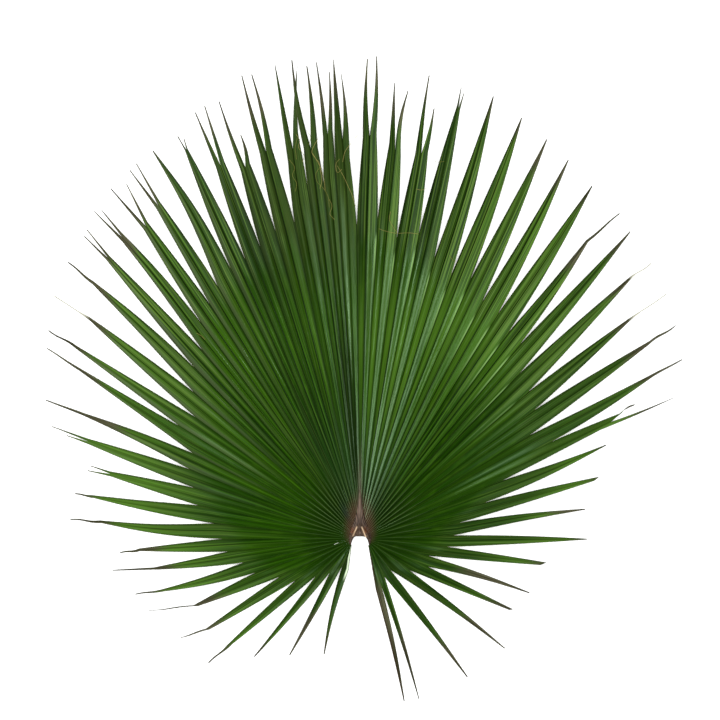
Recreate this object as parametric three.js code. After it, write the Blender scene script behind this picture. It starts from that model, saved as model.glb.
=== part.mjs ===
// Fan palm leaf cut from its stalk, lying on its underside: a pleated blade of 58 fingers, joined
// for about half their length, round the brown end of the stalk, which runs on into the blade as
// its costa. Millimetres; +Z is up and +Y runs from the stalk to the far tip of the leaf. The
// origin is on the floor under the hastula, where stalk and blade meet.
import * as THREE from 'three';

// Directions are degrees clockwise from +Y, seen from above, and reaches are distances from the
// origin. The fingers go clockwise from the left of the stalk. Each has the direction and reach of
// its tip, and of the cleft that parts it from the next one. A tail is the thin dry end that some
// carry past the tip, and a split finger parts at a reach into two tips. A bend, or the sway of
// half a split finger, is how far its middle leans clockwise, and rests are its tips' own heights.
// A finger keeps its width longer the larger its taper is, and a blunt tip has the width given.
const FINGERS = [
  { tip: [-163.5, 190], bend: 3, cleft: [-151.5, 57] },
  { tip: [-150.2, 213], bend: -1, cleft: [-142.5, 75] },
  { tip: [-139.6, 245], bend: -1, cleft: [-134, 93] },
  { tip: [-130.7, 258], tail: [-130.7, 300], cleft: [-126, 120] },
  { tip: [-122.3, 270], tail: [-120.3, 312], cleft: [-118.3, 138] },
  { tip: [-114, 270], tail: [-110.2, 339], cleft: [-110.5, 168] },
  { tip: [-106.3, 308], bend: -2.5, tail: [-105.3, 350], cleft: [-104, 180] },
  { tip: [-99.9, 312], bend: -1, tail: [-98.6, 376], cleft: [-97.8, 200] },
  { tip: [-94.5, 333], tail: [-94.9, 363], cleft: [-92.2, 207] },
  { tip: [-87.6, 390], bend: -4, tail: [-87.4, 436], cleft: [-86, 220] },
  { tip: [-82.3, 405], bend: -1.5, tail: [-82.2, 432], cleft: [-80.1, 246] },
  { split: 385, tips: [[-77.2, 420], [-76.1, 417]], cleft: [-74.6, 258] },
  { split: 430, tips: [[-71.7, 465], [-71, 490]], cleft: [-69.3, 273] },
  { tip: [-66.8, 450], bend: 2, tail: [-67.1, 513], taper: 1, cleft: [-64.3, 278] },
  { tip: [-59.8, 490], tail: [-59.5, 546], taper: 0.9, cleft: [-59.2, 316] },
  { tip: [-56.8, 510], tail: [-57, 558], taper: 1, cleft: [-54.7, 302] },
  { tip: [-51.7, 518], tail: [-52.3, 582], cleft: [-49.6, 327] },
  { tip: [-46.9, 550], bend: 2, tail: [-47.2, 598], cleft: [-44.9, 352] },
  { split: 560, tips: [[-42.9, 608], [-42, 612]], cleft: [-40.7, 362] },
  { split: 570, tips: [[-39.6, 627], [-38.7, 622]], bend: 4, cleft: [-37, 396] },
  { split: 562, tips: [[-35.9, 638], [-33.8, 630]], cleft: [-33.2, 411] },
  { split: 577, tips: [[-32.4, 645], [-31.2, 648]], bend: 1.5, cleft: [-29.9, 428] },
  { tip: [-28.5, 654], bend: 6, taper: 1, cleft: [-26, 442] },
  { split: 632, tips: [[-24.7, 656], [-24.1, 648]], taper: 1.5, cleft: [-22.7, 446] },
  { split: 590, tips: [[-21.4, 678], [-20, 682]], taper: 1.5, cleft: [-19.2, 455] },
  { split: 575, tips: [[-18.1, 682], [-16.7, 624]], sways: [-1, 2], taper: 1.5, cleft: [-15.6, 470] },
  { split: 590, tips: [[-14.5, 710], [-13.3, 708]], sways: [-1, 2.5], taper: 1.4, cleft: [-11.9, 476] },
  { split: 585, tips: [[-10.3, 716], [-7.6, 712]], rests: [8, 1], bend: -3, sways: [0, -2],
    taper: 1.6, cleft: [-8.6, 528] },
  { split: 582, tips: [[-8.2, 717], [-6.5, 706]], rests: [14, 8], sways: [-3, 2],
    taper: 1.5, cleft: [-5.9, 528] },
  { split: 600, tips: [[-5.3, 710], [-3.8, 694]], bend: 1, sways: [1, 1],
    taper: 1.5, cleft: [-3.8, 543] },
  { split: 592, tips: [[-3.2, 712], [-2.4, 695]], sways: [0, 3], taper: 1.6, cleft: [-0.6, 462] },
  { split: 596, tips: [[0.9, 712], [2, 716]], sways: [-2, 2], taper: 1.6, cleft: [3.2, 473] },
  { split: 577, tips: [[4.4, 678], [6.2, 668]], sways: [0, -4], taper: 1.5, cleft: [7.1, 446] },
  { split: 577, tips: [[8.6, 695], [9.9, 647]], sways: [-1, 1], taper: 1.5, cleft: [11.1, 458] },
  { split: 655, tips: [[12.8, 686], [13.3, 678]], taper: 1.4, cleft: [15.1, 428] },
  { tip: [17, 686], bend: 2.2, taper: 1.4, cleft: [19.4, 410] },
  { tip: [21.3, 670], bend: 1.4, taper: 1.5, cleft: [23.5, 417] },
  { tip: [25.4, 654], bend: 1.2, cleft: [27.8, 393] },
  { tip: [29.2, 642], bend: 2.6, cleft: [32.1, 390] },
  { tip: [33.8, 627], bend: 2, taper: 1.6, cleft: [36.4, 375] },
  { tip: [37.9, 555], bend: 2, tail: [39.1, 618], cleft: [40.2, 372] },
  { tip: [41.9, 608], bend: 1.2, cleft: [44.9, 339] },
  { tip: [46.7, 555], tail: [47.2, 596], cleft: [49.9, 330] },
  { tip: [51.7, 515], tail: [52.1, 585], cleft: [54.7, 320] },
  { tip: [56.7, 520], tail: [56.7, 567], cleft: [59.9, 294] },
  { tip: [61.7, 495], bend: 1.5, tail: [61.7, 549], cleft: [64.4, 318] },
  { split: 412, tips: [[65, 455], [66.7, 514]], sways: [-3, 1], cleft: [69.6, 228] },
  { tip: [70.4, 393], bend: 3, taper: 1.5, cleft: [76.1, 192] },
  { tip: [77.2, 365], blunt: 5, taper: 1.5, cleft: [83.8, 150] },
  { tip: [84, 340], bend: -2, cleft: [91.2, 140] },
  { tip: [91.7, 342], bend: -0.5, taper: 1.7, cleft: [98.7, 132] },
  { tip: [99.7, 280], blunt: 6, cleft: [108, 108] },
  { tip: [109.5, 270], bend: -2.5, taper: 0.9, cleft: [116, 114] },
  { tip: [117, 255], blunt: 4, taper: 1, cleft: [126.5, 93] },
  { tip: [128.6, 278], bend: -2.5, taper: 0.9, cleft: [140, 72] },
  { tip: [143.3, 270], bend: -1.5, cleft: [150.5, 75] },
  { tip: [160.5, 267], bend: -1.8, cleft: [158, 87] },
  { tip: [165.3, 262], bend: -2, taper: 1.6, cleft: [164.3, 87] },
];
const FIRST_MARGIN = [-162.5, 57]; // the outer edge of the first finger, as far out as its cleft

// Where the folds leave the costa, for a fold in each direction on the right half of the leaf
const ROOTS = [
  { direction: 0, x: 0, y: 72 },
  { direction: 3, x: 2.2, y: 54 },
  { direction: 6, x: 3.4, y: 41 },
  { direction: 10, x: 5, y: 31 },
  { direction: 20, x: 8, y: 21 },
  { direction: 30, x: 10.5, y: 14 },
  { direction: 40, x: 12.6, y: 8.5 },
  { direction: 50, x: 14.2, y: 3.5 },
  { direction: 60, x: 15.3, y: -0.5 },
  { direction: 70, x: 16, y: -3.5 },
  { direction: 85, x: 16.5, y: -7 },
  { direction: 100, x: 16.5, y: -10 },
  { direction: 115, x: 16.1, y: -12.6 },
  { direction: 130, x: 15.2, y: -15 },
  { direction: 150, x: 13.7, y: -17.4 },
  { direction: 170, x: 12, y: -19.4 },
];

// Heights are of the middle of the blade
const BLADE_THICKNESS = 1.1;
const HUB_HEIGHT = 13;
const CLEFT_HEIGHT = 23;
const CLEFT_SPREAD = 4;
const BOW = -7; // the joined part sags this much halfway to its clefts
const BOW_REACH = 470;
const TIP_HEIGHT = 4;
const TIP_SPREAD = 9;
const TIP_SEED = 100;
const DROOP = 1.4; // how late along a finger it comes down to the floor
const RESTING_FINGERS = [2, 9, 17, 23, 37, 44, 51, 57];
const PLEAT = 0.27; // depth of a fold for each millimetre of its width
const TAPER = 1.3;
const TIP_WIDTH = 1.6;
const TAIL_WIDTH = 4.2;
const TAIL_END_WIDTH = 1.5;

const WEB_STATIONS = [0, 0.16, 0.42, 0.7, 1];
const BLADE_STATIONS = [0.2, 0.4, 0.6, 0.8, 1];
const TIP_STATIONS = [0.5, 1];

const COSTA_GAP = 0.5;
const COSTA_ROWS = [-18.5, -15, -12, -9, -6, -2, 2, 6, 11, 17, 24, 32, 42, 52, 62];
const COSTA_START = COSTA_ROWS[0];
const COSTA_TIP = COSTA_ROWS.at(-1);
const COSTA_FLAT = 0.5; // share of the width that is flat underneath
const COSTA_FLANK = 1.5;
const COSTA_COLUMNS = [-1, -0.75, -COSTA_FLAT, -0.25, 0, 0.25, COSTA_FLAT, 0.75, 1];
const COSTA_FLAT_END = 42; // the underside lies flat on the floor up to here
const COSTA_SIDE_HEIGHT = 7;
const COSTA_CREST = 2.6;
const NOTCH_TOP = -5; // the stalk is trimmed off in an arch that peaks here
const NOTCH_ROUNDING = 5;
const ARCH_END = 6; // rows across the costa are straight from here on
const HASTULA = { height: 3, y: 9, sweep: 26, thickness: 4 };

const BLADE_COLOR = 0x2f5f1c;
const BLADE_ROUGHNESS = 0.5;
const COSTA_COLOR = 0x6b4a36;
const COSTA_ROUGHNESS = 0.7;

const lerp = (a, b, t) => a + (b - a) * t;
const blend = (p, q, t) => p.map((value, k) => lerp(value, q[k], t));

// The same spread of values from 0 to 1 for a number, on every run
const scatter = (n) => {
  const s = Math.sin(n * 12.9898) * 43758.5453;
  return s - Math.floor(s);
};

const polar = ([direction, reach]) => {
  const a = THREE.MathUtils.degToRad(direction);
  return [reach * Math.sin(a), reach * Math.cos(a)];
};

// A point part of the way along a line that leans clockwise in its middle
const bowed = (p, q, lean, t) => {
  const length = Math.hypot(q[0] - p[0], q[1] - p[1]);
  const side = [(q[1] - p[1]) / length, (p[0] - q[0]) / length];
  return blend(p, q, t).map((value, k) => value + side[k] * lean * Math.sin(Math.PI * t));
};

// A closed slab built from a net of triangles: every point has a place, an upper and a lower
// height, so both faces carry the same triangles and never cross
class Slab {
  points = [];
  triangles = [];

  point(x, y, top, bottom) {
    return this.points.push([x, y, top, bottom]) - 1;
  }

  // The strip between two rows of points, each from left to right seen from the near one
  band(near, far) {
    for (let i = 0; i + 1 < near.length; i += 1) {
      this.triangles.push([near[i], near[i + 1], far[i + 1]]);
      this.triangles.push([near[i], far[i + 1], far[i]]);
    }
  }

  rows(list) {
    list.slice(1).forEach((row, i) => this.band(list[i], row));
  }

  geometry() {
    const count = this.points.length;
    const top = this.points.map(([x, y, high]) => [x, y, high]);
    const bottom = this.points.map(([x, y, , low]) => [x, y, low]);
    const faces = this.triangles.flatMap(([a, b, c]) => [
      [a, b, c],
      [count + c, count + b, count + a],
    ]);
    const edges = this.triangles.flatMap(([a, b, c]) => [[a, b], [b, c], [c, a]]);
    const known = new Set(edges.map(([a, b]) => `${a},${b}`));
    for (const [a, b] of edges.filter(([a, b]) => !known.has(`${b},${a}`))) {
      faces.push([b, a, count + a], [b, count + a, count + b]);
    }
    const result = new THREE.BufferGeometry();
    const corners = [...top, ...bottom].flat();
    result.setAttribute('position', new THREE.Float32BufferAttribute(corners, 3));
    result.setIndex(faces.flat());
    result.computeVertexNormals();
    return result;
  }
}

function rootOf(direction) {
  const size = Math.abs(direction);
  const next = Math.max(1, ROOTS.findIndex((root) => root.direction >= size));
  const [a, b] = [ROOTS[next - 1], ROOTS[next]];
  const t = (size - a.direction) / (b.direction - a.direction);
  return [Math.sign(direction) * lerp(a.x, b.x, t), lerp(a.y, b.y, t)];
}

function costaHalfWidth(y) {
  const next = Math.max(1, ROOTS.findIndex((root) => root.y <= y));
  const [a, b] = [ROOTS[next - 1], ROOTS[next]];
  return lerp(a.x, b.x, (y - a.y) / (b.y - a.y)) - COSTA_GAP;
}

function makeBlade() {
  const slab = new Slab();
  const add = ([x, y], height) => {
    return slab.point(x, y, height + BLADE_THICKNESS / 2, height - BLADE_THICKNESS / 2);
  };
  const webHeight = (t, reach, cleftHeight) => {
    return lerp(HUB_HEIGHT, cleftHeight, t) + BOW * (reach / BOW_REACH) * Math.sin(Math.PI * t);
  };
  const cleftHeight = (n) => CLEFT_HEIGHT + CLEFT_SPREAD * (scatter(n) - 0.5);
  const tipHeight = (n, width) => {
    const onFloor = (BLADE_THICKNESS + PLEAT * width) / 2;
    if (RESTING_FINGERS.includes(n)) return onFloor;
    return TIP_HEIGHT + TIP_SPREAD * scatter(n + TIP_SEED);
  };
  const clefts = [FIRST_MARGIN, ...FINGERS.map((finger) => finger.cleft)];
  const distance = (p, q) => Math.hypot(p[0] - q[0], p[1] - q[1]);
  const straightAcross = (p, q, direction) => {
    const a = THREE.MathUtils.degToRad(direction);
    return Math.abs((q[0] - p[0]) * Math.cos(a) - (q[1] - p[1]) * Math.sin(a));
  };

  // Middle folds run from the costa to halfway between two clefts
  const middles = FINGERS.map((finger, i) => blend(clefts[i], clefts[i + 1], 0.5));
  const widthAt = (i, t) => {
    const [left, right, direction] = [clefts[i], clefts[i + 1], middles[i][0]];
    const near = straightAcross(rootOf(left[0]), rootOf(right[0]), direction);
    return lerp(near, straightAcross(polar(left), polar(right), direction), t);
  };

  const ridges = clefts.map((cleft, i) => WEB_STATIONS.map((t) => {
    const left = Math.max(0, i - 1);
    const right = Math.min(i, FINGERS.length - 1);
    const depth = PLEAT * (widthAt(left, t) + widthAt(right, t)) / 2;
    const height = webHeight(t, cleft[1], cleftHeight(i)) + depth / 2;
    return add(blend(rootOf(cleft[0]), polar(cleft), t), height);
  }));
  const valleys = middles.map((middle, i) => WEB_STATIONS.map((t) => {
    const height = webHeight(t, middle[1], (cleftHeight(i) + cleftHeight(i + 1)) / 2);
    const place = blend(rootOf(middle[0]), polar(middle), t);
    return add(place, height - (PLEAT * widthAt(i, t)) / 2);
  }));

  FINGERS.forEach((finger, i) => {
    slab.rows(WEB_STATIONS.map((t, j) => [ridges[i][j], valleys[i][j], ridges[i + 1][j]]));

    const start = polar(middles[i]);
    const left = polar(clefts[i]);
    const right = polar(clefts[i + 1]);
    const fullWidth = widthAt(i, 1);
    const startHeight = (cleftHeight(i) + cleftHeight(i + 1)) / 2;
    const end = finger.tip ?? blend(finger.tips[0], finger.tips[1], 0.5);
    const endWidth = finger.blunt ?? (finger.tail ? TAIL_WIDTH : TIP_WIDTH);
    const endHeight = tipHeight(i + 1, endWidth);
    const share = (u) => lerp(endWidth / fullWidth, 1, 1 - u ** (finger.taper ?? TAPER));
    const heightAt = (u) => lerp(startHeight, endHeight, u ** DROOP);
    const splitAt = finger.split ? (finger.split - middles[i][1]) / (end[1] - middles[i][1]) : 1;

    // A row across the finger: left edge, midrib in the fold, right edge
    const row = (u) => {
      const centre = bowed(start, polar(end), finger.bend ?? 0, u);
      const fold = (PLEAT * fullWidth * share(u)) / 2;
      const edge = (side) => centre.map((value, k) => value + (side[k] - start[k]) * share(u));
      return {
        places: [edge(left), centre, edge(right)],
        heights: [heightAt(u) + fold, heightAt(u) - fold, heightAt(u) + fold],
      };
    };
    const addRow = ({ places, heights }) => places.map((place, k) => add(place, heights[k]));

    const cleftRow = [ridges[i].at(-1), valleys[i].at(-1), ridges[i + 1].at(-1)];
    const stations = BLADE_STATIONS.map((u) => u * splitAt);
    const rows = stations.map(row);
    const numbers = rows.map(addRow);
    slab.rows([cleftRow, ...numbers]);
    const lastRow = rows.at(-1);
    const lastNumbers = numbers.at(-1);

    // Half of a split finger, from one edge and the midrib to its own tip
    const half = (tip, edges, sway = 0, height = endHeight) => {
      const [a, b] = edges.map((k) => lastRow.places[k]);
      const [highA, highB] = edges.map((k) => lastRow.heights[k]);
      const middle = blend(a, b, 0.5);
      const halfRows = TIP_STATIONS.map((v) => {
        const u = lerp(splitAt, 1, v);
        const narrow = Math.max(share(u) / share(splitAt), TIP_WIDTH / distance(a, b));
        const centre = bowed(middle, polar(tip), sway, v);
        return [a, b].map((side, k) => {
          const place = centre.map((value, axis) => value + (side[axis] - middle[axis]) * narrow);
          return add(place, lerp([highA, highB][k], height, v));
        });
      });
      slab.rows([edges.map((k) => lastNumbers[k]), ...halfRows]);
    };

    // The thin dry end past the tip
    const tail = (tip) => {
      const finish = polar(tip);
      const narrow = TAIL_END_WIDTH / TAIL_WIDTH;
      const centre = lastRow.places[1];
      const tailRow = lastRow.places.map((place, k) => {
        const shifted = place.map((value, axis) => finish[axis] + (value - centre[axis]) * narrow);
        return add(shifted, endHeight + (lastRow.heights[k] - lastRow.heights[1]) * narrow);
      });
      slab.rows([lastNumbers, tailRow]);
    };

    if (finger.split) {
      half(finger.tips[0], [0, 1], finger.sways?.[0], finger.rests?.[0]);
      half(finger.tips[1], [1, 2], finger.sways?.[1], finger.rests?.[1]);
    }
    if (finger.tail) tail(finger.tail);
  });
  return slab.geometry();
}

function makeCosta() {
  const slab = new Slab();
  const rows = COSTA_ROWS.map((y) => COSTA_COLUMNS.map((u) => {
    const rise = Math.max(0, (ARCH_END - y) / (ARCH_END - COSTA_START));
    const arch = y + rise * (NOTCH_TOP - COSTA_START) * (1 - Math.abs(u) ** NOTCH_ROUNDING);
    const x = u * costaHalfWidth(y);
    const lift = Math.max(0, (y - COSTA_FLAT_END) / (COSTA_TIP - COSTA_FLAT_END));
    const flank = Math.max(0, (Math.abs(u) - COSTA_FLAT) / (1 - COSTA_FLAT));
    const bottom = lerp(lift * COSTA_SIDE_HEIGHT, COSTA_SIDE_HEIGHT, flank ** COSTA_FLANK);
    const lip = (arch - HASTULA.y + HASTULA.sweep * u * u) / HASTULA.thickness;
    const top = HUB_HEIGHT + COSTA_CREST * (1 - u * u) + HASTULA.height * Math.exp(-lip * lip);
    return slab.point(x, arch, top, bottom);
  }));
  slab.rows(rows);
  return slab.geometry();
}

function material(color, roughness) {
  return new THREE.MeshStandardMaterial({ color, roughness, metalness: 0, flatShading: true });
}

const leaf = new THREE.Group();

const blade = new THREE.Mesh(makeBlade(), material(BLADE_COLOR, BLADE_ROUGHNESS));
blade.name = 'blade';
leaf.add(blade);

const costa = new THREE.Mesh(makeCosta(), material(COSTA_COLOR, COSTA_ROUGHNESS));
costa.name = 'costa';
leaf.add(costa);

export default leaf;
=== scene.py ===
import math

import bpy
import numpy as np
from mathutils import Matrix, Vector
from mathutils.bvhtree import BVHTree


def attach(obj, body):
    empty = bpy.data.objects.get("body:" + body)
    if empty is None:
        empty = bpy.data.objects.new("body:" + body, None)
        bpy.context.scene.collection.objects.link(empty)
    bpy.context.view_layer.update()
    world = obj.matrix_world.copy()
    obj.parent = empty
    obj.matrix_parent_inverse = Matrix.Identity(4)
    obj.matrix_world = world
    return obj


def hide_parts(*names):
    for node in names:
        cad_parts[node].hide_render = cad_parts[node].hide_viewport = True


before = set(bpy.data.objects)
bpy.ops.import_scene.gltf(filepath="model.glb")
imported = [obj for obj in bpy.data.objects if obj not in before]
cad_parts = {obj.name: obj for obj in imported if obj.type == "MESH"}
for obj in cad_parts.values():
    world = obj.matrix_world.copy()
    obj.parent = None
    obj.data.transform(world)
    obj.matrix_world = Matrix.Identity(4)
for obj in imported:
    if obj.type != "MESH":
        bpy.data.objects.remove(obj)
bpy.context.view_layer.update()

# Fan palm leaf, its looks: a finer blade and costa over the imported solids, with their threads.
# Shapes are worked out in millimetres and scaled to metres as each mesh is made.
MM = 0.001

# Directions are degrees clockwise from +Y and reaches are from the hub, as in the solids. The
# fingers go clockwise from the left of the stalk, each with its tip and the cleft after it. A bend
# leans a finger's middle clockwise and a taper sets how its width falls. Blunt is the width of a
# cut end, and a tail goes on past the tip. A split one has two tips, with sways and rests as
# the lean and the height of each.
FINGERS = [
    dict(tip=(-163.5, 190), bend=3, cleft=(-151.5, 57)),
    dict(tip=(-150.2, 213), bend=-1, cleft=(-142.5, 75)),
    dict(tip=(-139.6, 245), bend=-1, cleft=(-134, 93)),
    dict(tip=(-130.7, 258), tail=(-130.7, 300), cleft=(-126, 120)),
    dict(tip=(-122.3, 270), tail=(-120.3, 312), cleft=(-118.3, 138)),
    dict(tip=(-114, 270), tail=(-110.2, 339), cleft=(-110.5, 168)),
    dict(tip=(-106.3, 308), bend=-2.5, tail=(-105.3, 350), cleft=(-104, 180)),
    dict(tip=(-99.9, 312), bend=-1, tail=(-98.6, 376), cleft=(-97.8, 200)),
    dict(tip=(-94.5, 333), tail=(-94.9, 363), cleft=(-92.2, 207)),
    dict(tip=(-87.6, 390), bend=-4, tail=(-87.4, 436), cleft=(-86, 220)),
    dict(tip=(-82.3, 405), bend=-1.5, tail=(-82.2, 432), cleft=(-80.1, 246)),
    dict(split=385, tips=[(-77.2, 420), (-76.1, 417)], cleft=(-74.6, 258)),
    dict(split=430, tips=[(-71.7, 465), (-71, 490)], cleft=(-69.3, 273)),
    dict(tip=(-66.8, 450), bend=2, tail=(-67.1, 513), taper=1, cleft=(-64.3, 278)),
    dict(tip=(-59.8, 490), tail=(-59.5, 546), taper=0.9, cleft=(-59.2, 316)),
    dict(tip=(-56.8, 510), tail=(-57, 558), taper=1, cleft=(-54.7, 302)),
    dict(tip=(-51.7, 518), tail=(-52.3, 582), cleft=(-49.6, 327)),
    dict(tip=(-46.9, 550), bend=2, tail=(-47.2, 598), cleft=(-44.9, 352)),
    dict(split=560, tips=[(-42.9, 608), (-42, 612)], cleft=(-40.7, 362)),
    dict(split=570, tips=[(-39.6, 627), (-38.7, 622)], bend=4, cleft=(-37, 396)),
    dict(split=562, tips=[(-35.9, 638), (-33.8, 630)], cleft=(-33.2, 411)),
    dict(split=577, tips=[(-32.4, 645), (-31.2, 648)], bend=1.5, cleft=(-29.9, 428)),
    dict(tip=(-28.5, 654), bend=6, taper=1, cleft=(-26, 442)),
    dict(split=632, tips=[(-24.7, 656), (-24.1, 648)], taper=1.5, cleft=(-22.7, 446)),
    dict(split=590, tips=[(-21.4, 678), (-20, 682)], taper=1.5, cleft=(-19.2, 455)),
    dict(split=575, tips=[(-18.1, 682), (-16.7, 624)], sways=(-1, 2), taper=1.5, cleft=(-15.6, 470)),
    dict(split=590, tips=[(-14.5, 710), (-13.3, 708)], sways=(-1, 2.5), taper=1.4, cleft=(-11.9, 476)),
    dict(split=585, tips=[(-10.3, 716), (-7.6, 712)], rests=(8, 1), bend=-3, sways=(0, -2), taper=1.6,
         cleft=(-8.6, 528)),
    dict(split=582, tips=[(-8.2, 717), (-6.5, 706)], rests=(14, 8), sways=(-3, 2), taper=1.5,
         cleft=(-5.9, 528)),
    dict(split=600, tips=[(-5.3, 710), (-3.8, 694)], bend=1, sways=(1, 1), taper=1.5, cleft=(-3.8, 543)),
    dict(split=592, tips=[(-3.2, 712), (-2.4, 695)], sways=(0, 3), taper=1.6, cleft=(-0.6, 462)),
    dict(split=596, tips=[(0.9, 712), (2, 716)], sways=(-2, 2), taper=1.6, cleft=(3.2, 473)),
    dict(split=577, tips=[(4.4, 678), (6.2, 668)], sways=(0, -4), taper=1.5, cleft=(7.1, 446)),
    dict(split=577, tips=[(8.6, 695), (9.9, 647)], sways=(-1, 1), taper=1.5, cleft=(11.1, 458)),
    dict(split=655, tips=[(12.8, 686), (13.3, 678)], taper=1.4, cleft=(15.1, 428)),
    dict(tip=(17, 686), bend=2.2, taper=1.4, cleft=(19.4, 410)),
    dict(tip=(21.3, 670), bend=1.4, taper=1.5, cleft=(23.5, 417)),
    dict(tip=(25.4, 654), bend=1.2, cleft=(27.8, 393)),
    dict(tip=(29.2, 642), bend=2.6, cleft=(32.1, 390)),
    dict(tip=(33.8, 627), bend=2, taper=1.6, cleft=(36.4, 375)),
    dict(tip=(37.9, 555), bend=2, tail=(39.1, 618), cleft=(40.2, 372)),
    dict(tip=(41.9, 608), bend=1.2, cleft=(44.9, 339)),
    dict(tip=(46.7, 555), tail=(47.2, 596), cleft=(49.9, 330)),
    dict(tip=(51.7, 515), tail=(52.1, 585), cleft=(54.7, 320)),
    dict(tip=(56.7, 520), tail=(56.7, 567), cleft=(59.9, 294)),
    dict(tip=(61.7, 495), bend=1.5, tail=(61.7, 549), cleft=(64.4, 318)),
    dict(split=412, tips=[(65, 455), (66.7, 514)], sways=(-3, 1), cleft=(69.6, 228)),
    dict(tip=(70.4, 393), bend=3, taper=1.5, cleft=(76.1, 192)),
    dict(tip=(77.2, 365), blunt=5, taper=1.5, cleft=(83.8, 150)),
    dict(tip=(84, 340), bend=-2, cleft=(91.2, 140)),
    dict(tip=(91.7, 342), bend=-0.5, taper=1.7, cleft=(98.7, 132)),
    dict(tip=(99.7, 280), blunt=6, cleft=(108, 108)),
    dict(tip=(109.5, 270), bend=-2.5, taper=0.9, cleft=(116, 114)),
    dict(tip=(117, 255), blunt=4, taper=1, cleft=(126.5, 93)),
    dict(tip=(128.6, 278), bend=-2.5, taper=0.9, cleft=(140, 72)),
    dict(tip=(143.3, 270), bend=-1.5, cleft=(150.5, 75)),
    dict(tip=(160.5, 267), bend=-1.8, cleft=(158, 87)),
    dict(tip=(165.3, 262), bend=-2, taper=1.6, cleft=(164.3, 87)),
]
FIRST_MARGIN = (-162.5, 57)

# Fingers, counted from 1, whose tail has bleached to a pale thread, and how far each has dried up
FAINT_TAILS = (17, 43, 44)
DRY_ENDS = (
    35, 80, 35, 45, 70, 110, 45, 95, 65, 65, 30, 15, 20, 125, 100, 70, 100, 85, 60, 90,
    70, 70, 15, 12, 45, 45, 70, 20, 45, 80, 60, 50, 55, 35, 22, 35, 33, 55, 50, 40,
    115, 50, 80, 100, 90, 80, 50, 18, 10, 50, 18, 18, 110, 40, 80, 70, 110, 190,
)

# Where the folds leave the costa, as direction, x and y on the right half of the leaf
ROOTS = [
    (0, 0, 72),
    (3, 2.2, 54),
    (6, 3.4, 41),
    (10, 5, 31),
    (20, 8, 21),
    (30, 10.5, 14),
    (40, 12.6, 8.5),
    (50, 14.2, 3.5),
    (60, 15.3, -0.5),
    (70, 16, -3.5),
    (85, 16.5, -7),
    (100, 16.5, -10),
    (115, 16.1, -12.6),
    (130, 15.2, -15),
    (150, 13.7, -17.4),
    (170, 12, -19.4),
]

# Heights and widths of the blade, as in its solid, with a thinner sheet. The tips of the resting
# fingers, counted from 1, touch the floor.
SOLID_THICKNESS = 1.1
BLADE_THICKNESS = 0.7
HUB_HEIGHT = 13
CLEFT_HEIGHT = 23
CLEFT_SPREAD = 4
BOW = -7
BOW_REACH = 470
TIP_HEIGHT = 4
TIP_SPREAD = 9
TIP_SEED = 100
DROOP = 1.4
RESTING_FINGERS = (2, 9, 17, 23, 37, 44, 51, 57)
PLEAT = 0.27
TAPER = 1.3
TIP_WIDTH = 1.6
TAIL_WIDTH = 4.2
TAIL_END_WIDTH = 1.5

# Rows along a segment, and places across half of it from the valley (0) to the ridge (1)
WEB_ROWS = 20
BLADE_ROWS = 16
TIP_ROWS = 6
TAIL_ROWS = 6
ACROSS = (0, 0.06, 0.16, 0.32, 0.5, 0.68, 0.84, 0.94, 1)
HALF = len(ACROSS) - 1

# Near the hub a fold is steeper next to its ridge, and farther out next to both of its edges.
# Each edge also has a small sharp crease.
HUB_LEAN = 0.35
HUB_EDGE = 0.1
FAR_EDGE = 0.68
HUB_SHAPE_END = 120
FAR_SHAPE_START = 270
CREASE_DEPTH = 0.3
CREASE_WIDTH = 1.4
CREASE_FULL_WIDTH = 8

# Half of a split tip bulges, a dry tail is waved, and a faint one is thin from a third of it on
TIP_BULGE = 0.1
TAIL_WAVE = 2.5
TAIL_SEED = 40
FAINT_NARROWING = 3

# The distance of what isn't beside a point at all, and the numbers of the scatter below
FAR = 1000
SCATTER_STEP = 12.9898
SCATTER_SIZE = 43758.5453


def lerp(a, b, t):
    return a + (b - a) * t


def scatter(n):
    """The same spread of values from 0 to 1 for a number, on every run."""
    s = math.sin(n * SCATTER_STEP) * SCATTER_SIZE
    return s - math.floor(s)


def polar(spot):
    """A direction and a reach as x and y."""
    a = math.radians(spot[0])
    return np.array([spot[1] * math.sin(a), spot[1] * math.cos(a)])


def bowed(p, q, lean, t):
    """A point part of the way along a line that leans clockwise in its middle."""
    d = (q - p) / np.linalg.norm(q - p)
    return lerp(p, q, t) + np.array([d[1], -d[0]]) * lean * math.sin(math.pi * t)


def straight_across(p, q, direction):
    """How far two places are apart at right angles to a direction."""
    a = math.radians(direction)
    return abs((q[0] - p[0]) * math.cos(a) - (q[1] - p[1]) * math.sin(a))


def root_of(direction):
    """Where the fold that runs in a direction leaves the costa."""
    size = abs(direction)
    x = np.interp(size, [r[0] for r in ROOTS], [r[1] for r in ROOTS])
    y = np.interp(size, [r[0] for r in ROOTS], [r[2] for r in ROOTS])
    return np.array([math.copysign(x, direction), y])


def store(mesh, values, domain):
    """Keeps named numbers on a mesh, one for each point or face."""
    for name, numbers in values.items():
        layer = mesh.attributes.new(name, "FLOAT", domain)
        layer.data.foreach_set("value", np.array(numbers, np.float32))


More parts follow.
